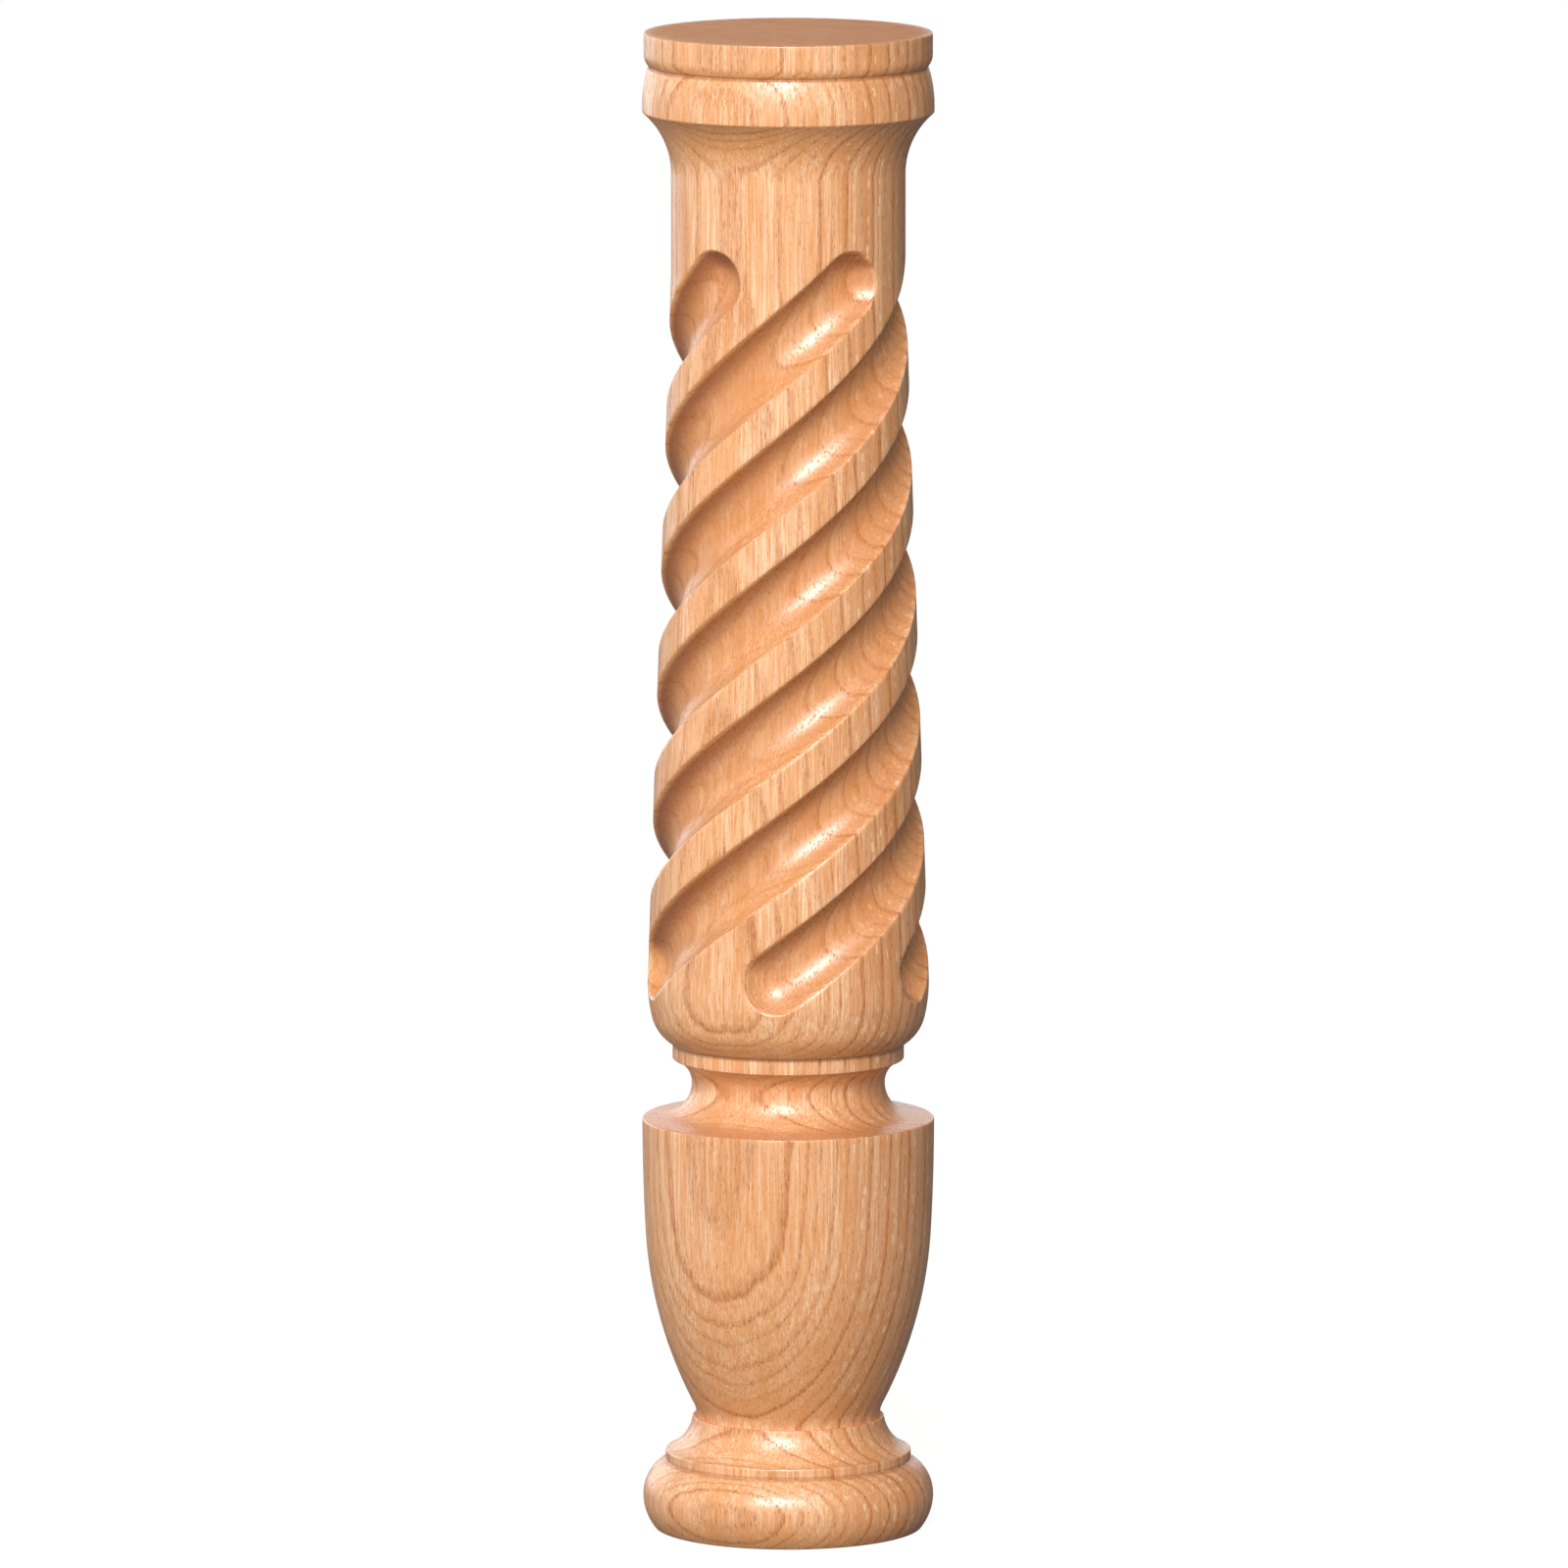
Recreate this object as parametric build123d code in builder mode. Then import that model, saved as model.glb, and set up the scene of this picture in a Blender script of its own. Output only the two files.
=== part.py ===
"""Turned oak newel post with five rope flutes, one solid piece, in millimetres.

The origin is the centre of the flat foot, +Z runs up the turning axis and the front is -Y.
The half section is drawn from the foot upwards, as radius against height.
"""
from build123d import *
from math import atan, ceil, cos, degrees, radians, sin, sqrt, tan
import os

# Foot: a bun turned from two arcs, under a plain square fillet
foot_radius = 69.0
bun_radius = 75.2
bun_widest_height = 17.0
bun_upper_arc = 21.0
foot_fillet_radius = 63.5
foot_fillet_height = 4.8

# Pedestal: a hollow rising from the fillet to a narrow ledge
pedestal_height = 17.8
pedestal_arc = 21.9
ledge_radius = 49.5

# Vase: a small curve in at the foot, a long swelling belly, and sides that stand upright at the rim
vase_foot_radius = 47.4
vase_cove_radius = 49.2
vase_cove_height = 7.0
vase_side_radius = 73.85
vase_side_height = 58.6
vase_rim_radius = 75.45
vase_height = 156.2

# Scotia: a sloping shoulder sweeps up into the waist, the neck of the post, and out again
shoulder_slope = 5.6
waist_radius = 49.9
scotia_lower_arc = 17.5
scotia_upper_arc = 13.3
waist_fillet_radius = 59.8
waist_fillet_height = 7.7

# Bulb: the round bottom of the shaft, a gentle curve over a tighter one
bulb_height = 34.5
bulb_turn_radius = 70.5
bulb_turn_height = 14.0

# Shaft: a straight taper up to a plain round collar
shaft_bottom_radius = 72.6
shaft_top_radius = 60.2
taper_height = 366.0
collar_height = 51.1

# Capital: a cove, a band with a slight belly, a narrow quirk and the plain top band
cove_arc = 41.4
belly_band_radius = 75.05
belly_band_side = 3.0
belly_band_height = 22.7
belly_arc = 69.5
quirk_depth = 2.45
quirk_width = 0.8
top_band_radius = 74.15
top_band_arc = 9.3
top_band_height = 17.5

# Rope flutes: round-nosed cuts that climb the shaft and die out in a round at each end
flute_count = 5
flute_lead = 323.3
flute_depth = 10.75
flute_nose_radius = 19.0
flute_bottom_margin = 7.9
flute_top_margin = 0.7
first_flute_angle = -95.4
station_turn = 25.0


def arc_reach(arc_radius, offset):
    """Length along an arc's tangent to the place where the arc has left it by offset."""
    return sqrt(arc_radius**2 - (arc_radius - offset) ** 2)


def arc_offset(arc_radius, reach):
    """How far an arc has left its tangent after a given reach along it."""
    return arc_radius - sqrt(arc_radius**2 - reach**2)


# Heights above the foot: each moulding stands on the one below it
foot_fillet_bottom = bun_widest_height + arc_reach(bun_upper_arc, bun_radius - foot_fillet_radius)
foot_fillet_top = foot_fillet_bottom + foot_fillet_height
ledge = foot_fillet_top + pedestal_height
vase_rim = ledge + vase_height

shoulder_lean = radians(shoulder_slope)
shoulder_end_radius = waist_radius + scotia_lower_arc * (1 - sin(shoulder_lean))
shoulder_end = vase_rim + (vase_rim_radius - shoulder_end_radius) * tan(shoulder_lean)
waist = shoulder_end + scotia_lower_arc * cos(shoulder_lean)
waist_fillet_bottom = waist + arc_reach(scotia_upper_arc, waist_fillet_radius - waist_radius)
waist_fillet_top = waist_fillet_bottom + waist_fillet_height

taper_bottom = waist_fillet_top + bulb_height
taper_top = taper_bottom + taper_height
collar_top = taper_top + collar_height
belly_band_bottom = collar_top + arc_reach(cove_arc, belly_band_radius - shaft_top_radius)
belly_start = belly_band_bottom + belly_band_side
quirk_bottom = belly_band_bottom + belly_band_height
quirk_top = quirk_bottom + quirk_width
quirk_radius = top_band_radius - quirk_depth
top_band_start = quirk_top + arc_reach(top_band_arc, quirk_depth)
post_height = quirk_top + top_band_height

# Corners of the half section that two mouldings share
foot_edge = (foot_radius, 0)
bun_widest = (bun_radius, bun_widest_height)
bun_top = (foot_fillet_radius, foot_fillet_bottom)
foot_fillet_corner = (foot_fillet_radius, foot_fillet_top)
ledge_corner = (ledge_radius, ledge)
vase_foot = (vase_foot_radius, ledge)
vase_cove_end = (vase_cove_radius, ledge + vase_cove_height)
vase_side_end = (vase_side_radius, vase_rim - vase_side_height)
vase_rim_corner = (vase_rim_radius, vase_rim)
shoulder_inner = (shoulder_end_radius, shoulder_end)
waist_point = (waist_radius, waist)
waist_fillet_foot = (waist_fillet_radius, waist_fillet_bottom)
bulb_foot = (waist_fillet_radius, waist_fillet_top)
bulb_turn = (bulb_turn_radius, waist_fillet_top + bulb_turn_height)
taper_foot = (shaft_bottom_radius, taper_bottom)
taper_head = (shaft_top_radius, taper_top)
cove_foot = (shaft_top_radius, collar_top)
cove_corner = (belly_band_radius, belly_band_bottom)
belly_foot = (belly_band_radius, belly_start)
belly_top_radius = belly_band_radius - arc_offset(belly_arc, quirk_bottom - belly_start)
belly_top = (belly_top_radius, quirk_bottom)
top_band_foot = (top_band_radius, top_band_start)

# The nose of the cutter runs along a conical helix, equally deep all the way up the taper
taper_per_mm = (shaft_bottom_radius - shaft_top_radius) / taper_height
flute_bottom = taper_bottom + flute_bottom_margin
flute_top = taper_top - flute_top_margin
flute_start_radius = (
    shaft_bottom_radius - flute_bottom_margin * taper_per_mm - flute_depth + flute_nose_radius
)
taper_angle = degrees(atan(taper_per_mm))
flute_turn = 360 * (flute_top - flute_bottom) / flute_lead
flute_stations = ceil(flute_turn / station_turn)

with BuildLine() as flute_path:
    Helix(
        pitch=flute_lead,
        height=flute_top - flute_bottom,
        radius=flute_start_radius,
        center=(0, 0, flute_bottom),
        cone_angle=-taper_angle,
    )

with BuildPart() as flute_cutter:
    # The half of the round nose that faces the axis, drawn at stations along its path
    for station in range(flute_stations + 1):
        nose_centre = flute_path.line @ (station / flute_stations)
        climb = flute_path.line % (station / flute_stations)
        outward = (nose_centre.X, nose_centre.Y, 0)
        with BuildSketch(Plane(origin=nose_centre, x_dir=outward, z_dir=climb)):
            with BuildLine():
                nose = CenterArc((0, 0), flute_nose_radius, 90, 180)
                Line(nose @ 1, nose @ 0)
            make_face()
    loft()
    # The round that the nose leaves where it enters the wood and where it comes out
    with Locations(flute_path.line @ 0, flute_path.line @ 1):
        Sphere(flute_nose_radius)

with BuildPart() as newel_post:
    with BuildSketch(Plane.XZ) as half_section:
        with BuildLine():
            Line((0, 0), foot_edge)
            TangentArc(bun_widest, foot_edge, tangent=(0, -1))
            TangentArc(bun_widest, bun_top, tangent=(0, 1))
            Line(bun_top, foot_fillet_corner)
            RadiusArc(foot_fillet_corner, ledge_corner, pedestal_arc)
            Line(ledge_corner, vase_foot)
            vase_side = TangentArc(vase_rim_corner, vase_side_end, tangent=(0, -1))
            vase_belly = TangentArc(vase_side_end, vase_cove_end, tangent=vase_side % 1)
            TangentArc(vase_cove_end, vase_foot, tangent=vase_belly % 1)
            Line(vase_rim_corner, shoulder_inner)
            TangentArc(waist_point, shoulder_inner, tangent=(0, -1))
            TangentArc(waist_point, waist_fillet_foot, tangent=(0, 1))
            Line(waist_fillet_foot, bulb_foot)
            taper = Line(taper_head, taper_foot)
            bulb_side = TangentArc(taper_foot, bulb_turn, tangent=taper % 1)
            TangentArc(bulb_turn, bulb_foot, tangent=bulb_side % 1)
            Line(taper_head, cove_foot)
            TangentArc(cove_foot, cove_corner, tangent=(0, 1))
            Line(cove_corner, belly_foot)
            TangentArc(belly_foot, belly_top, tangent=(0, 1))
            Polyline(belly_top, (quirk_radius, quirk_bottom), (quirk_radius, quirk_top))
            TangentArc(top_band_foot, (quirk_radius, quirk_top), tangent=(0, -1))
            Polyline(top_band_foot, (top_band_radius, post_height), (0, post_height), (0, 0))
        make_face()
    revolve(axis=Axis.Z)
    with PolarLocations(radius=0, count=flute_count, start_angle=first_flute_angle):
        add(flute_cutter.part, mode=Mode.SUBTRACT)

newel_post.part.label = "newel_post"
os.makedirs("parts", exist_ok=True)
export_step(newel_post.part, "parts/newel_post.step")
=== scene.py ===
# %% [markdown]
# # A rope-fluted newel post in lacquered oak
# A newel post is the stout post that a stair rail ends on. This one is a single turned piece
# of oak: a bun foot, a hollow pedestal, a tall vase, a pinched waist, and a tapering shaft
# with five flutes that wind up it like the strands of a rope, under a moulded capital.
# The imported solid is loaded first; the post made below takes its place.

import cmath
from math import atan2, cos, degrees, radians, sin, sqrt

import bpy
import numpy as np
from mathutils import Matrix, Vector


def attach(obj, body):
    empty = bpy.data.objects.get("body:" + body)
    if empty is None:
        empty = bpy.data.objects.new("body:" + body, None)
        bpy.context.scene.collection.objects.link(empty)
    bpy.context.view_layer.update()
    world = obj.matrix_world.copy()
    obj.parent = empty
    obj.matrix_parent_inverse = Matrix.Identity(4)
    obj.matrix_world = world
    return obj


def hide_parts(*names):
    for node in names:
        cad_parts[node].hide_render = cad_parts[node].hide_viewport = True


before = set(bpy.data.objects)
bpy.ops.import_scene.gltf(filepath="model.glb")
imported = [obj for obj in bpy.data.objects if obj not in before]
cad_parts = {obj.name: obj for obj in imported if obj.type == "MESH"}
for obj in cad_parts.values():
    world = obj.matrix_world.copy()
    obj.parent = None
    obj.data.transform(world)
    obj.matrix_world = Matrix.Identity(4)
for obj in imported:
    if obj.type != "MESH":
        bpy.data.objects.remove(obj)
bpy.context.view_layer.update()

# %% [markdown]
# ## The camera
# The photograph was taken from far away with a long lens, a little above the post: upright
# edges stay upright, and each moulding hides a little of the one below it. A camera nine
# metres off with a 400 mm lens gives the same view. It could be framed by eye; here its
# place and lens come from where the edges of the foot and the rims lie in the picture.

# %% Camera
camera_place = Vector((-0.0022, -8.842, 1.670))
camera_target = Vector((-0.0022, 0.0, 0.3885))

camera_data = bpy.data.cameras.new("camera")
camera_data.lens = 397.8
camera_data.sensor_width = 36.0
camera_data.clip_end = 60.0
camera = bpy.data.objects.new("camera", camera_data)
camera.location = camera_place
camera.rotation_mode = "QUATERNION"
camera.rotation_quaternion = (camera_target - camera_place).to_track_quat("-Z", "Y")
bpy.context.scene.collection.objects.link(camera)
bpy.context.scene.camera = camera
bpy.context.scene.view_settings.view_transform = "Standard"
print("camera", round((camera_target - camera_place).length, 2), "m from the post")

# %% [markdown]
# ## Drawing the half section
# A turner works from a drawing of half the post: radius against height. Each moulding is a
# straight run or an arc, so two helpers are enough. The arc is given by the direction in
# which it leaves its first point and the point where it ends. Sizes are in millimetres, as
# on the turner's drawing, and are turned into metres when the mesh is made.
# Sanding takes the sharpness off every outer corner. The drawing keeps a list of points
# with the size of that softening beside each, so the corners can be eased all at once.

# %% Lines, arcs and sanded corners
outline = [(0.0, 0.0, 0.0)]


def run(end, step, sanded=0.0):
    """Straight run from the last point to end, and how far its end corner is sanded back."""
    r0, z0, _ = outline[-1]
    count = max(1, round(sqrt((end[0] - r0) ** 2 + (end[1] - z0) ** 2) / step))
    for i in range(1, count + 1):
        t = i / count
        corner = sanded if i == count else 0.0
        outline.append((r0 + (end[0] - r0) * t, z0 + (end[1] - z0) * t, corner))


def arc_points(start, leaving, end, step):
    """Points after start, up to end, on the arc that leaves start in a given direction."""
    first = complex(*start)
    direction = complex(*leaving) / abs(complex(*leaving))
    chord = complex(*end) - first
    half_turn = cmath.phase(chord / direction)
    radius = abs(chord) / (2 * sin(half_turn))
    count = max(2, round(2 * radius * half_turn / step))
    points = []
    for i in range(1, count + 1):
        part = half_turn * i / count
        point = first + direction * cmath.rect(2 * radius * sin(part), part)
        points.append((point.real, point.imag))
    return points, direction * cmath.rect(1, 2 * half_turn)


def arc(end, step, leaving=None, arriving=None, sanded=0.0):
    """Arc from the last point to end; it leaves or arrives in the direction given."""
    start = outline[-1][:2]
    if leaving is not None:
        points, _ = arc_points(start, leaving, end, step)
    else:
        points, _ = arc_points(end, (-arriving[0], -arriving[1]), start, step)
        points = points[-2::-1] + [end]
    outline.extend((r, z, 0.0) for r, z in points[:-1])
    outline.append((*end, sanded))


# %% [markdown]
# ## Foot and pedestal
# The post stands on a bun: a full round that is widest 17 mm up, below a square fillet.
# A hollow then sweeps in to a narrow ledge, the thinnest-looking place near the floor.

# %% Foot and pedestal
foot_edge = (69.0, 0.0)
bun_widest = (75.2, 17.0)
bun_top = (63.5, 35.82)
foot_fillet_corner = (63.5, 40.62)
ledge_corner = (49.5, 58.42)
vase_foot = (47.4, 58.42)
hollow_radius = 21.9

run(foot_edge, 14.0, sanded=0.6)
arc(bun_widest, 1.7, arriving=(0, 1))
arc(bun_top, 1.7, leaving=(0, 1))
run(foot_fillet_corner, 1.6, sanded=0.7)
chord = complex(*ledge_corner) - complex(*foot_fillet_corner)
hollow_turn = np.arcsin(abs(chord) / (2 * hollow_radius))
hollow_leaving = chord * cmath.rect(1, hollow_turn)
arc(ledge_corner, 1.6, leaving=(hollow_leaving.real, hollow_leaving.imag), sanded=0.35)
run(vase_foot, 1.2)
print("pedestal hollow", round(degrees(2 * hollow_turn)), "degrees of a 21.9 mm round")

# %% [markdown]
# ## Vase
# The belly of the vase is one long swelling curve. It straightens until it stands upright
# at the rim, and it has a small cove at the bottom where it meets the ledge. The curve
# starts upright at the rim and is followed down to find how steep it is at each joint, and
# then each arc is told how it arrives at its upper end.

# %% Vase
vase_cove_end = (49.2, 65.42)
vase_side_end = (73.85, 156.02)
vase_rim = (75.45, 214.62)
_, side_down = arc_points(vase_rim, (0, -1), vase_side_end, 3.4)
_, belly_down = arc_points(vase_side_end, (side_down.real, side_down.imag), vase_cove_end, 2.7)
arc(vase_cove_end, 1.3, arriving=(-belly_down.real, -belly_down.imag))
arc(vase_side_end, 2.7, arriving=(-side_down.real, -side_down.imag))
arc(vase_rim, 3.4, arriving=(0, 1), sanded=0.9)
print("vase", len(outline), "points so far")

# %% [markdown]
# ## Scotia and waist
# Above the rim the shoulder slopes inwards, then a deep hollow called a scotia sweeps up
# to the waist and out again under a plain fillet. Two arcs of different size meet at the
# waist, which is what gives a scotia its leaning look.

# %% Scotia and waist fillet
shoulder_inner = (65.69, 215.58)
waist = (49.9, 232.99)
waist_fillet_foot = (59.8, 245.85)
bulb_foot = (59.8, 253.55)

run(shoulder_inner, 2.6)
arc(waist, 1.35, arriving=(0, 1))
arc(waist_fillet_foot, 1.3, leaving=(0, 1), sanded=0.6)
run(bulb_foot, 2.4)
print("waist", 2 * waist[0], "mm across")

# %% [markdown]
# ## Shaft
# The shaft starts as a bulb, a tight curve that opens into a gentle one, and then tapers
# in a straight line to a round collar. The taper is where the rope flutes will be cut.

# %% Bulb, taper and collar
taper_bottom, taper_top = 288.05, 654.05
shaft_bottom, shaft_top = 72.6, 60.2
taper_lean = (shaft_bottom - shaft_top) / (taper_top - taper_bottom)
taper_foot = (shaft_bottom, taper_bottom)
bulb_turn = (70.5, 267.55)
collar_top = 705.15

_, bulb_down = arc_points(taper_foot, (taper_lean, -1), bulb_turn, 2.0)
arc(bulb_turn, 1.6, arriving=(-bulb_down.real, -bulb_down.imag))
arc(taper_foot, 2.2, arriving=(-taper_lean, 1))
run((shaft_top, taper_top), 2.45)
run((shaft_top, collar_top), 2.6)
print("taper", round(degrees(atan2(taper_lean, 1)), 2), "degrees a side")

# %% [markdown]
# ## Capital
# A cove flares out from the collar to a broad band with a slight belly. A narrow groove,
# the quirk, throws a dark line between it and the plain band that ends the post.

# %% Capital
belly_radius, belly_end_radius = 75.05, 72.21
quirk_radius, quirk_bottom, quirk_top = 71.7, 759.63, 760.43
band_radius = 74.15
post_top = 777.925

arc((belly_radius, 736.93), 1.9, leaving=(0, 1), sanded=0.6)
run((belly_radius, 739.93), 1.5)
arc((belly_end_radius, quirk_bottom), 2.0, leaving=(0, 1), sanded=0.5)
run((quirk_radius, quirk_bottom), 0.6)
run((quirk_radius, quirk_top), 0.8)
arc((band_radius, 766.71), 1.1, arriving=(0, 1))
run((band_radius, post_top), 2.6, sanded=0.9)
run((0.0, post_top), 14.0)
print("outline", len(outline), "points, top at", outline[-1][1], "mm")

# %% [markdown]
# ## Easing the corners
# Each marked corner is cut back by its sanded size and replaced by a short curve with the
# old corner as its control point. Close by the ends of the flutes the outline also gets
# extra points, because there the flutes run out sideways and need close rows.

# %% Ease the corners and add rows at the flute ends
def eased(points):
    """The outline with its marked corners rounded."""
    result = []
    for i, (r, z, size) in enumerate(points):
        if size == 0:
            result.append((r, z))
            continue
        before, corner, after = (np.array(points[j][:2]) for j in (i - 1, i, i + 1))
        first = corner + (before - corner) * size / np.linalg.norm(before - corner)
        last = corner + (after - corner) * size / np.linalg.norm(after - corner)
        for t in (0, 0.25, 0.5, 0.75, 1):
            result.append(tuple((1 - t) ** 2 * first + 2 * t * (1 - t) * corner + t**2 * last))
    return result


def closer(points, low, high, step):
    """The outline with rows no more than a step apart between two heights."""
    result = [points[0]]
    for (r0, z0), (r1, z1) in zip(points, points[1:]):
        inside = low < (z0 + z1) / 2 < high
        count = max(1, int(np.ceil(abs(z1 - z0) / step))) if inside else 1
        for i in range(1, count + 1):
            result.append((r0 + (r1 - r0) * i / count, z0 + (z1 - z0) * i / count))
    return result


close_rows = 0.5
lower_ends, upper_ends = (276.5, 283.5), (667.0, 672.5)
section = closer(eased(outline), *lower_ends, close_rows)
section = closer(section, *upper_ends, close_rows)
section_radius = np.array([r for r, z in section])
section_height = np.array([z for r, z in section])
print("half section has", len(section), "points")

# %% [markdown]
# ## The rope flutes
# On the bench a flute like this is cut by a round-nosed cutter that climbs the shaft while
# the post turns slowly under it. Where the cutter enters and leaves, it leaves a round end.
# The same thing is worked out here: the nose is a ball whose centre follows a helix on the
# taper. For any place on the shaft, the cutter passes nearest to the axis at the smallest
# radius that any of its positions gives, and the wood is whatever lies inside that.

# %% Path of the cutter
flute_count = 5
flute_lead = 323.3
flute_depth = 10.75
nose_radius = 19.0
flute_low, flute_high = taper_bottom + 7.9, taper_top - 0.7
first_flute = radians(-95.4)
nose_steps = np.linspace(-22, 22, 89)
not_cut = 999.0


def flute_angle(height):
    """Direction of the first flute's middle line as seen from above."""
    climbed = np.clip(height, flute_low, flute_high) - flute_low
    return first_flute + 2 * np.pi * climbed / flute_lead


def nose_distance(height):
    """How far the centre of the nose is from the axis when it is at a height."""
    return shaft_bottom - (height - taper_bottom) * taper_lean - flute_depth + nose_radius


def cut_radius(turn, height):
    """Radius left by the cutter at angles measured from the flute's middle line."""
    nose_height = np.clip(height + nose_steps, flute_low, flute_high)
    away = nose_distance(nose_height)
    angle = turn[:, None] - (flute_angle(nose_height) - flute_angle(height))[None, :]
    reach = nose_radius**2 - (height - nose_height) ** 2 - (away * np.sin(angle)) ** 2
    left = away * np.cos(angle) - np.sqrt(np.maximum(reach, 0))
    return np.where(reach > 0, left, not_cut).min(axis=1)


turns = round(degrees(flute_angle(flute_high) - flute_angle(flute_low)))
print("each flute winds", turns, "degrees round the shaft")

# %% [markdown]
# ## Skin of the post
# The mesh is a grid: one ring of points per row of the half section. The columns follow
# the flutes up the shaft, so the rims of the flutes run along the grid instead of across
# it, and the columns crowd together at the rims where the surface turns most. The two
# surfaces meet in a small blend rather than a knife edge, as sanding leaves them.

# %% Columns of the grid
columns = 38
period = 2 * np.pi / flute_count
rim_width = 1.7
fine_turn = np.linspace(-period / 2, period / 2, 481)


def column_offsets(radius, height):
    """Turn of each column from the flute's middle line, closest at the two rims."""
    gap = cut_radius(fine_turn, height) - radius
    crowd = 0.6 + 3.0 * np.exp(-((gap / rim_width) ** 2)) + 0.35 * (gap < 0)
    travelled = np.concatenate([[0], np.cumsum((crowd[1:] + crowd[:-1]) / 2)])
    return np.interp(np.arange(columns) / columns * travelled[-1], travelled, fine_turn)


rim_blend = 1.5


def blended(body, cut):
    """The smaller of two radii, with a soft change from one to the other."""
    nearness = np.maximum(rim_blend - np.abs(body - cut), 0) / rim_blend
    return np.minimum(body, cut) - nearness**2 * rim_blend / 4


columns_low, columns_high = 281.7, 667.7
cut_low, cut_high = 273, 677
rings = []
for radius, height in zip(section_radius, section_height):
    if radius == 0:
        continue
    followed = min(max(height, columns_low), columns_high)
    body = np.interp(followed, [taper_bottom, taper_top], [shaft_bottom, shaft_top])
    offsets = column_offsets(body, followed)
    radii = np.full(columns, radius)
    if cut_low < height < cut_high:
        radii = blended(radii, cut_radius(offsets, height))
    angles = flute_angle(height) + (offsets + period * np.arange(flute_count)[:, None]).ravel()
    radii = np.tile(radii, flute_count)
    z = np.full(len(angles), height)
    rings.append(np.column_stack([radii * np.cos(angles), radii * np.sin(angles), z]))
rings = np.array(rings)
print(rings.shape[0], "rows of", rings.shape[1], "points")

# %% [markdown]
# ## From rings to a mesh
# Four neighbouring points, two on a ring and two on the ring above, make one face, and a
# fan of triangles closes the foot and the top. Smooth shading hides the facets, except
# where two mouldings meet at more than 38 degrees, which stays a crisp edge. A turned
# shape could also be spun from a curve, but a spun curve can't follow the flutes.

# %% Build the mesh
row_count, around = rings.shape[:2]
one_mm = 0.001
centres = [[0, 0, 0], [0, 0, section_height[-1]]]
points = np.concatenate([rings.reshape(-1, 3), centres]) * one_mm
row, column = np.meshgrid(np.arange(row_count - 1), np.arange(around), indexing="ij")
beside = (column + 1) % around
quads = np.stack(
    [
        row * around + column,
        row * around + beside,
        (row + 1) * around + beside,
        (row + 1) * around + column,
    ],
    axis=-1,
).reshape(-1, 4)
edge = np.arange(around)
foot_centre = row_count * around
top_row = (row_count - 1) * around
foot_fan = np.column_stack([np.full(around, foot_centre), (edge + 1) % around, edge])
top_fan = np.column_stack(
    [np.full(around, foot_centre + 1), top_row + edge, top_row + (edge + 1) % around]
)
faces = quads.tolist() + foot_fan.tolist() + top_fan.tolist()

post_mesh = bpy.data.meshes.new("turned_post")
post_mesh.from_pydata(points.tolist(), [], faces)
post_mesh.shade_smooth()
post_mesh.set_sharp_from_angle(angle=radians(38))
post_mesh.validate()
post = bpy.data.objects.new("turned_post", post_mesh)
bpy.context.scene.collection.objects.link(post)
print("post has", 2 * len(quads) + 2 * around, "triangles")

# %% [markdown]
# ## A way to write shader maths
# Wood is drawn in three dimensions by nodes, and node maths is easier to read as sums.
# The class below wraps the output of a node. Adding or multiplying wraps a Math node, and
# its add method makes any other node from its settings and the values of its sockets.

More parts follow.
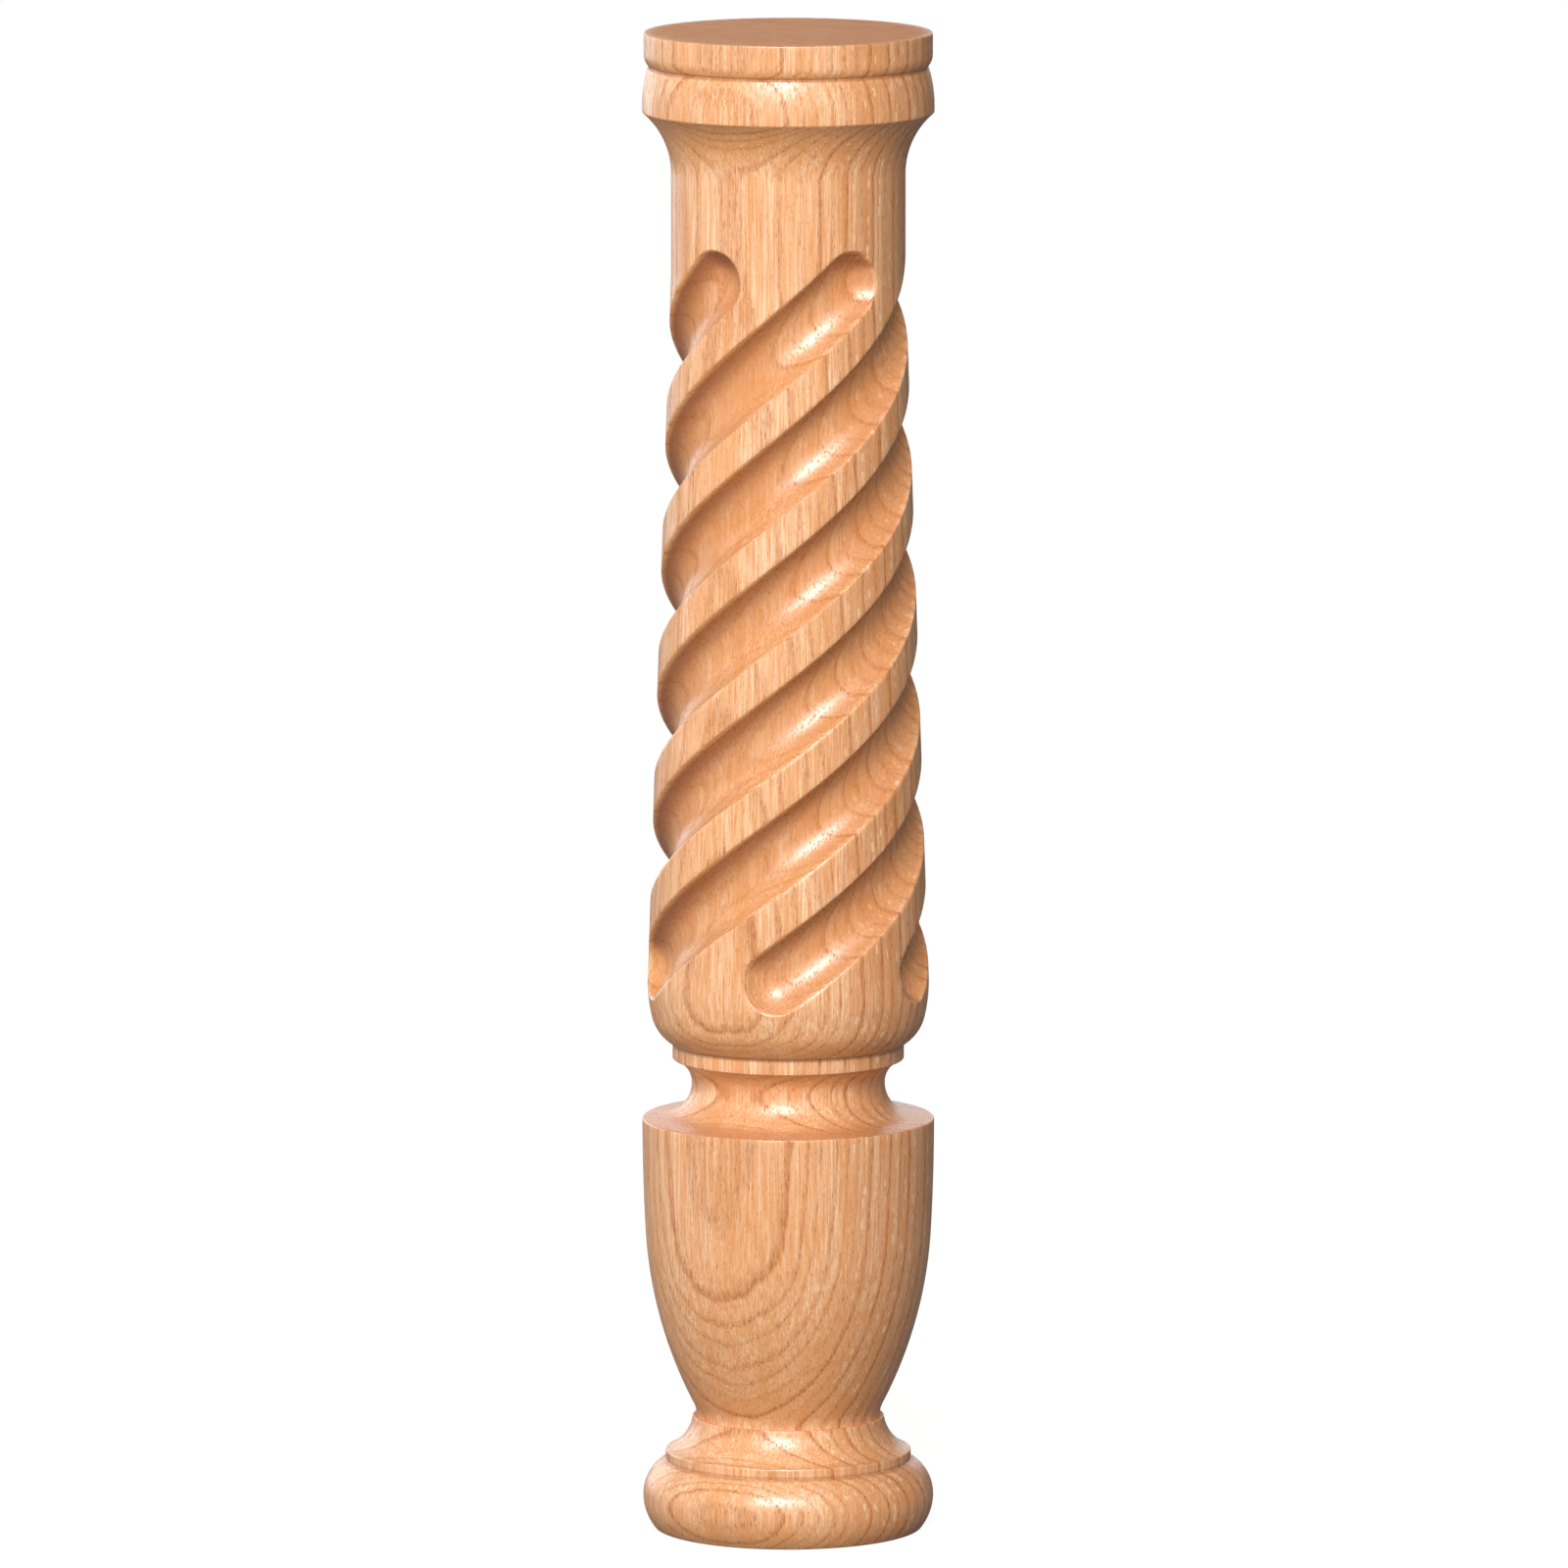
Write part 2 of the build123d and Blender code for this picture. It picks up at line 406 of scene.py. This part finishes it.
# %% Sockets that can be added and multiplied
class Grain:
    """The output of a shader node; arithmetic on it adds Math nodes to the same tree."""

    def __init__(self, tree, socket):
        self.tree = tree
        self.socket = socket

    def add(self, kind, settings=None, sockets=None, out=0):
        """A new node of a kind; sockets takes names or numbers to values or other outputs."""
        node = self.tree.nodes.new(kind)
        for name, value in (settings or {}).items():
            if name == "curve":
                points = node.mapping.curves[0].points
                points[0].location, points[1].location = value[0], value[-1]
                for point in value[1:-1]:
                    points.new(*point)
                for point in points:
                    point.handle_type = "VECTOR"
                node.mapping.update()
            else:
                setattr(node, name, value)
        for key, value in (sockets or {}).items():
            if isinstance(value, Grain):
                self.tree.links.new(value.socket, node.inputs[key])
            else:
                node.inputs[key].default_value = value
        return Grain(self.tree, node.outputs[out])

    def output(self, number):
        """Another output of the same node."""
        return Grain(self.tree, self.socket.node.outputs[number])

    def maths(self, operation, *values):
        sockets = dict(enumerate(values))
        return self.add("ShaderNodeMath", {"operation": operation}, sockets)

    def vector(self, operation, *values, out=0):
        sockets = dict(enumerate(values))
        return self.add("ShaderNodeVectorMath", {"operation": operation}, sockets, out)

    def __add__(self, other):
        return self.maths("ADD", self, other)

    def __sub__(self, other):
        return self.maths("SUBTRACT", self, other)

    def __rsub__(self, other):
        return self.maths("SUBTRACT", other, self)

    def __mul__(self, other):
        return self.maths("MULTIPLY", self, other)

    def __truediv__(self, other):
        return self.maths("DIVIDE", self, other)

    __radd__ = __add__
    __rmul__ = __mul__

    def between(self, low, high):
        """0 at low, 1 at high, and a smooth change from one to the other."""
        settings = {"interpolation_type": "SMOOTHSTEP"}
        return self.add("ShaderNodeMapRange", settings, {0: self, 1: low, 2: high})

    def noise(self, size, detail=2.0, roughness=0.5, out=0):
        """Soft random value of about 0.5, in blobs of a size in mm along x, y and z."""
        spread = self.vector("MULTIPLY", self, tuple(1 / s for s in size))
        sockets = {"Vector": spread, "Scale": 1.0, "Detail": detail, "Roughness": roughness}
        return self.add("ShaderNodeTexNoise", {}, sockets, out)

    def cells(self, size, out=0):
        """Distance from the middle of random cells of a size in mm along x, y and z."""
        spread = self.vector("MULTIPLY", self, tuple(1 / s for s in size))
        return self.add("ShaderNodeTexVoronoi", {}, {"Vector": spread, "Scale": 1.0}, out)

    def tinted(self, amount, colour):
        """This colour mixed towards another by an amount."""
        settings = {"data_type": "RGBA"}
        return self.add("ShaderNodeMix", settings, {0: amount, 6: self, 7: colour}, out=2)


def stain(red, green, blue):
    """A colour as a painter names it, 0 to 255, turned into the light it reflects."""
    shown = [v / 255 for v in (red, green, blue)]
    light = [v / 12.92 if v <= 0.04045 else ((v + 0.055) / 1.055) ** 2.4 for v in shown]
    return (*light, 1)


# %% [markdown]
# ## Oak, grown and then turned
# The pattern on turned wood is where its surface cuts through the rings of the tree, so
# the oak is made as a solid: every point knows how far it lay from the middle of the
# trunk. The heart of the tree is behind the post and to its right, so the rings lie flat
# to the surface at the front left, where they make long nested tongues on the vase, and
# stand on edge at the right, where they are close lines.

# %% Where each point lay in the tree
oak = bpy.data.materials.new("lacquered_oak")
oak.use_nodes = True
oak_tree = oak.node_tree
oak_shader = oak_tree.nodes["Principled BSDF"]
start = Grain(oak_tree, oak_tree.nodes.new("ShaderNodeTexCoord").outputs["Object"])

place = start.vector("SCALE", start)
mm_in_a_metre = 1000.0
place.socket.node.inputs["Scale"].default_value = mm_in_a_metre

sway = place.noise((48, 48, 260), out=1)
sway = sway.vector("SUBTRACT", sway, (0.5, 0.5, 0.5))
sway = sway.vector("MULTIPLY", sway, (4.0, 4.0, 0.0))
ripple = place.noise((9, 9, 60), out=1)
ripple = ripple.vector("SUBTRACT", ripple, (0.5, 0.5, 0.5))
ripple = ripple.vector("MULTIPLY", ripple, (1.2, 1.2, 0.0))
grown = place.vector("ADD", place.vector("ADD", place, sway), ripple)

heart = (51.6, 97.1, 0.0)
flat = grown.vector("MULTIPLY", grown.vector("SUBTRACT", grown, heart), (1, 1, 0))
from_heart = flat.vector("LENGTH", flat, out=1)
print("heart of the tree is", round(sqrt(heart[0] ** 2 + heart[1] ** 2)), "mm from the axis")

# %% [markdown]
# ## Rings, pores and fibres
# Each year an oak first grows a band of wide pores, then dense wood. The pores are cut
# lengthwise by the surface and show as short dark dashes, crowded in the bands. The years
# are not equal: the tree grew fast when it was young and slowly later, so the widths are
# a list, read off the post from the heart outwards, and a curve turns the distance
# from the heart into a count of years. Along the fibres run fine pale and dark streaks.

# %% Rings
first_year = 26.0
year_widths = [8, 8, 8, 7, 8, 8, 7, 8, 7, 7, 7, 7, 7.5, 7.4, 7.5, 6, 5.8, 4.3, 3.8]
year_widths += [4.6, 3.8, 3.3, 4.3, 2.6, 2.9, 3.6, 5.2, 4.0]
all_widths = sum(year_widths)
years_end = first_year + all_widths
year_count = len(year_widths)
curve = [(sum(year_widths[:n]) / all_widths, n / year_count) for n in range(year_count + 1)]
fibre = place.noise((1.2, 1.2, 70), detail=3.0, roughness=0.65)
hair = place.noise((0.6, 0.6, 22), detail=2.0, roughness=0.6)
grown_part = (from_heart - first_year) / (years_end - first_year)
years = grown_part.add("ShaderNodeFloatCurve", {"curve": curve}, {"Value": grown_part})
years = years * year_count + (hair - 0.5) * 0.35 + (fibre - 0.5) * 0.3
this_year = years.maths("FRACT", years)
year_number = years.maths("FLOOR", years)
year_strength = years.add(
    "ShaderNodeTexWhiteNoise", {"noise_dimensions": "1D"}, {"W": year_number}, out=0
)
early_wood = (1 - this_year.between(0.1, 0.42)) * this_year.between(0.0, 0.08)
band = early_wood * (0.3 + 0.7 * year_strength)
print(year_count, "years, out to", round(years_end), "mm from the heart")

# %% [markdown]
# ## Pores, rays and ticks
# A pore is a tiny tube that runs up the tree. Random cells, drawn out upwards, stand for
# them: the middle of each cell is a pore, and it is wider in the early wood. Rays are thin
# sheets that run out from the heart, so their cells are laid out by direction from it.
# On the right side of the post, short pale ticks along the late wood are painted highlights:
# light caught in the open pores.

# %% Pores and rays
wide_pore = place.cells((1.25, 1.25, 6.5))
fine_pore = place.cells((0.6, 0.6, 3.6))
wide_pores = 1 - (wide_pore - 0.32 * band).between(0.07, 0.2)
fine_pores = 1 - (fine_pore - 0.16 * band).between(0.10, 0.24)
pores = wide_pores.maths("MAXIMUM", wide_pores, fine_pores * 0.5)
ray_fan, ray_stretch = 260.0, 0.16
ray_place = flat.vector("NORMALIZE", flat)
ray_place = flat.vector("MULTIPLY", ray_place, (ray_fan, ray_fan, 0.0))
ray_rise = place.vector("MULTIPLY", place, (0.0, 0.0, ray_stretch))
ray_place = flat.vector("ADD", ray_place, ray_rise)
ray = ray_place.add("ShaderNodeTexVoronoi", {}, {"Vector": ray_place, "Scale": 1.0})
rays = 1 - ray.between(0.10, 0.26)
east = place.add("ShaderNodeSeparateXYZ", {}, {0: place})
# the right side of the post by position; it carries painted shade and painted highlights
right_side = east.between(12.0, 42.0)
late_wood = this_year.between(0.48, 0.56) * (1 - this_year.between(0.66, 0.76))
# painted highlights: pale dashes for light caught in open pores on the right side
glint_cell = place.cells((3.0, 3.0, 7.5))
pore_glints = right_side * late_wood * (1 - glint_cell.between(0.26, 0.42))

# %% [markdown]
# ## Where stain goes deeper, and where shade is painted
# Lacquer and stain soak in deeper wherever a cut crosses the fibres: in the flutes and on the
# end grain of faces that look up or down. Painted shade is laid on as well: in the hollow of
# each flute, on faces that look down, most of all on the undercut side of a flute, and on the
# upward part of the scotia. These masks say how far each point is such a place. They come
# from the point's height, its distance from the axis and the way its surface faces.

# %% Masks for deeper stain and painted shade
height = east.output(2)
across = place.vector("MULTIPLY", place, (1, 1, 0))
reach = across.vector("LENGTH", across, out=1)
rib_face = shaft_bottom - (height - taper_bottom) * taper_lean
rib_face = rib_face.maths("MAXIMUM", rib_face, shaft_top)
in_flute = (rib_face - reach).between(0.3, 3.0)
foot_fade, head_fade = (272.0, 282.0), (668.0, 676.0)
in_flute = in_flute * height.between(*foot_fade) * (1 - height.between(*head_fade))
open_grain = 1 - 0.4 * in_flute

facing = place.add("ShaderNodeNewGeometry", out=1)
upward = facing.add("ShaderNodeSeparateXYZ", {}, {0: facing}, out=2)
# painted shade: the down-facing wall of each flute is darkened in the colour
undercut_shade = (0 - upward).between(0.1, 0.65) * in_flute
# painted shade: faces that look down, outside the flutes, are darkened in the colour
underside_shade = (0 - upward).between(0.05, 0.5) * (1 - in_flute)
end_grain = upward.maths("ABSOLUTE", upward).between(0.8, 0.99)
# painted shade: the up-facing part of the shoulder and scotia is darkened in the colour
rim_fade, waist_fade = (213.5, 215.0), (221.0, 234.0)
shoulder_shade = height.between(*rim_fade) * (1 - height.between(*waist_fade))
shoulder_shade = shoulder_shade * upward.between(0.1, 0.7)

# %% [markdown]
# ## Colour
# Clear lacquer warms oak to an orange tan. The palest fibres are close to peach, and some
# years grew a warmer wood than others. Over that ground lie the fine dark fibres, the bands
# of pores and the pores themselves. The right side of the post is darkened as painted shade,
# and there the late wood carries columns of short pale ticks, painted highlights in the open
# pores. The flutes, the faces that look down and the upward part of the scotia carry painted
# shade too. The colours are written as they look in plain light.

# %% The ground colour
peach_fibre = stain(253, 208, 166)
tan_fibre = stain(234, 166, 110)
warm_fibre = stain(231, 158, 96)
year_colour = stain(224, 144, 82)
flute_stain_and_shade_colour = stain(206, 130, 66)
undercut_shade_colour = stain(152, 78, 22)
underside_shade_colour = stain(226, 148, 68)
# end grain colour, also used for the painted shade on the scotia
end_grain_and_shade_colour = stain(205, 132, 78)
patch = place.noise((11, 11, 240), detail=2.0)

oak_colour = fibre.add(
    "ShaderNodeMix",
    {"data_type": "RGBA"},
    {0: fibre.between(0.38, 0.62), 6: tan_fibre, 7: peach_fibre},
    out=2,
)
oak_colour = oak_colour.tinted(patch.between(0.42, 0.62) * 0.5, warm_fibre)
oak_colour = oak_colour.tinted(year_strength.between(0.5, 0.95) * 0.25, year_colour)
# deeper stain in the cross-cut flutes, together with painted shade of the hollow
oak_colour = oak_colour.tinted(in_flute * 0.5, flute_stain_and_shade_colour)
# painted shade on faces that look down
oak_colour = oak_colour.tinted(underside_shade * 0.5, underside_shade_colour)
# painted shade on the undercut wall of each flute
oak_colour = oak_colour.tinted(undercut_shade * 0.8, undercut_shade_colour)
oak_colour = oak_colour.tinted(end_grain * 0.6, end_grain_and_shade_colour)
# painted shade on the scotia, in the end grain colour
oak_colour = oak_colour.tinted(shoulder_shade * 0.28, end_grain_and_shade_colour)

# %% [markdown]
# ## The grain over the ground
# The grain is laid on last, so it stays crisp in the dark flutes too, where the bands and
# pores are only a little weaker. Each line mixes the colour so far a little way towards the
# colour of one feature.

# %% Fibres, bands, pores and ticks
# dark fibres, also used as painted shade on the right side
dark_fibre_and_shade = stain(206, 130, 72)
early_colour = stain(186, 106, 46)
pore_colour = stain(146, 80, 32)
glint_colour = stain(252, 212, 170)
oak_colour = oak_colour.tinted(hair.between(0.5, 0.68) * (1 - 0.6 * undercut_shade) * 0.6, dark_fibre_and_shade)
# painted shade: the right side of the post is darkened
oak_colour = oak_colour.tinted(right_side * (1 - undercut_shade) * 0.28, dark_fibre_and_shade)
oak_colour = oak_colour.tinted(band * open_grain * 0.6, early_colour)
oak_colour = oak_colour.tinted(pores * open_grain * 0.38, pore_colour)
oak_colour = oak_colour.tinted(rays * (1 - in_flute) * 0.25, peach_fibre)
# painted highlights in the pores on the right side
oak_colour = oak_colour.tinted(pore_glints * (1 - 0.6 * in_flute) * (1 - end_grain) * 0.8, glint_colour)

# %% [markdown]
# ## Painted shade in the corners
# The quirk and the corners where the fillets meet the rounds beside them are darkened in the
# colour: painted shade, darker than the light alone would make them.

# %% Darker corners, painted shade
corner_shade = stain(150, 92, 46)
quirk, over_waist_fillet, under_foot_fillet = 760.3, 253.5, 35.8
shaded_corners = (
    (quirk, 1.8, 0.5),
    (over_waist_fillet, 1.6, 0.5),
    (under_foot_fillet, 1.5, 0.4),
)


def near_height(at, half_width):
    """1 at a height in mm, falling to 0 a little way above and below it."""
    away = (height - at).maths("ABSOLUTE", height - at)
    return 1 - away.between(half_width * 0.4, half_width)


for at, half_width, depth in shaded_corners:
    oak_colour = oak_colour.tinted(near_height(at, half_width) * depth, corner_shade)
oak_tree.links.new(oak_colour.socket, oak_shader.inputs["Base Color"])

# %% [markdown]
# ## Lacquer
# A satin clear coat lies over the wood. It is the shader's own coat layer, and it is thin
# over the pores and in small random spots, so a highlight on it breaks up into specks. A
# shallow bump under it lets the pores sink and the pale fibres stand a little proud. Level
# end grain drinks most of the coat and stays dull.

# %% Lacquer
relief = 1.0 - 0.8 * pores - 0.25 * band + 0.2 * fibre
bump = relief.add(
    "ShaderNodeBump", {}, {"Strength": 0.55, "Distance": 0.0004, "Height": relief}
)
level_face = upward.between(0.9965, 0.9995)
sheen_noise = place.noise((6, 6, 30), detail=3.0)
dull = 0.46 + 0.08 * sheen_noise + 0.12 * pores + 0.3 * level_face
speck = place.cells((1.7, 1.7, 3.4))
specks = 0.95 * (1 - speck.between(0.2, 0.45))
film = (1 - pores.maths("MAXIMUM", pores * 0.9, specks)) * (1 - 0.85 * level_face)
oak_tree.links.new(bump.socket, oak_shader.inputs["Normal"])
oak_tree.links.new(dull.socket, oak_shader.inputs["Roughness"])
oak_tree.links.new(film.socket, oak_shader.inputs["Coat Weight"])
oak_shader.inputs["Coat Roughness"].default_value = 0.35
oak_shader.inputs["Coat IOR"].default_value = 2.0
oak_shader.inputs["IOR"].default_value = 1.5
post_mesh.materials.append(oak)
print("oak uses", len(oak_tree.nodes), "nodes")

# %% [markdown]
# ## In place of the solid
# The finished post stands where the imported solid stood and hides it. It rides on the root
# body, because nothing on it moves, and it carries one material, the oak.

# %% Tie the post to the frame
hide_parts("newel_post")
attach(post, "root")
print("the post stands in for the solid")

# %% [markdown]
# ## Floor
# The post stands on plain paper. The paper itself is grey, and most of its white is a glow
# that the camera sees but that gives the post no light, so the floor reads as white and
# still keeps the soft shadow of the post.

# %% Floor
floor_mesh = bpy.data.meshes.new("floor")
half_floor = 2.2
corner_signs = ((-1, -1), (1, -1), (1, 1), (-1, 1))
floor_corners = [(half_floor * x, half_floor * y, 0) for x, y in corner_signs]
floor_mesh.from_pydata(floor_corners, [], [(0, 1, 2, 3)])
floor = bpy.data.objects.new("floor", floor_mesh)
bpy.context.scene.collection.objects.link(floor)

paper = bpy.data.materials.new("white_paper")
paper.use_nodes = True
paper_tree = paper.node_tree
paper_shader = paper_tree.nodes["Principled BSDF"]
paper_grey, paper_glow = 0.15, 0.92
paper_shader.inputs["Base Color"].default_value = (paper_grey, paper_grey, paper_grey, 1)
paper_shader.inputs["Roughness"].default_value = 0.9
paper_shader.inputs["Specular IOR Level"].default_value = 0.0

in_reflections = 0.06


def backdrop_rays(tree):
    """1 for rays that look straight at the backdrop, less in a reflection, 0 for its light."""
    path = tree.nodes.new("ShaderNodeLightPath").outputs
    straight = Grain(tree, path["Is Camera Ray"])
    mirrored = straight.maths(
        "MAXIMUM", Grain(tree, path["Is Glossy Ray"]), Grain(tree, path["Is Transmission Ray"])
    )
    return straight.maths("MAXIMUM", straight, mirrored * in_reflections)


seen = backdrop_rays(paper_tree)
glow = seen * paper_glow
paper_tree.links.new(glow.socket, paper_shader.inputs["Emission Color"])
paper_shader.inputs["Emission Strength"].default_value = 1.0
floor_mesh.materials.append(paper)

# %% [markdown]
# ## Light
# The light is one broad soft box above the camera and a little to its left, which gives
# the long highlights in the flutes and hollows. Fills from the front, the left and behind
# open the shade; they are not seen in the lacquer, so they add no second highlight. Two
# pale walls behind the post show at a glancing angle only: on the left edge of the post
# and on the shoulder. The room itself is a dim, even white.

# %% World and soft boxes
world = bpy.data.worlds.new("room")
bpy.context.scene.world = world
world.use_nodes = True
room = world.node_tree.nodes["Background"]
room.inputs["Color"].default_value = (1, 1, 1, 1)
room_level = 0.035
strength = backdrop_rays(world.node_tree) * (1 - room_level) + room_level
world.node_tree.links.new(strength.socket, room.inputs["Strength"])

middle = Vector((0, 0, 0.39))
lamp_distance = 6.0


def soft_box(name, azimuth, elevation, width, height, level, mirrored=True):
    """A soft box aimed at the post; azimuth is from the camera's side towards the right.

    Alone it would show a white face turned to it as that share of white.
    """
    light = bpy.data.lights.new(name, "AREA")
    light.shape = "RECTANGLE"
    light.size = width
    light.size_y = height
    light.energy = level * (np.pi * lamp_distance) ** 2
    lamp = bpy.data.objects.new(name, light)
    a, e = radians(azimuth), radians(elevation)
    away = Vector((sin(a) * cos(e), -cos(a) * cos(e), sin(e)))
    lamp.location = middle + away * lamp_distance
    lamp.rotation_mode = "QUATERNION"
    lamp.rotation_quaternion = away.to_track_quat("Z", "Y")
    lamp.visible_camera = False
    lamp.visible_glossy = mirrored
    bpy.context.scene.collection.objects.link(lamp)


soft_box("key", -11, 35, 2.9, 1.7, 0.69)
soft_box("front_fill", 5, 18, 3.2, 2.6, 0.48, mirrored=False)
soft_box("right_fill", 10, 30, 1.6, 2.4, 0.21, mirrored=False)
soft_box("left_fill", -98, 7, 3.0, 3.4, 0.56, mirrored=False)
soft_box("left_rim", -144, 10, 3.0, 3.0, 0.15)
soft_box("back_wall", 182, 10, 4.5, 2.2, 0.13)
soft_box("back_fill", 165, 3, 2.6, 2.6, 0.4, mirrored=False)
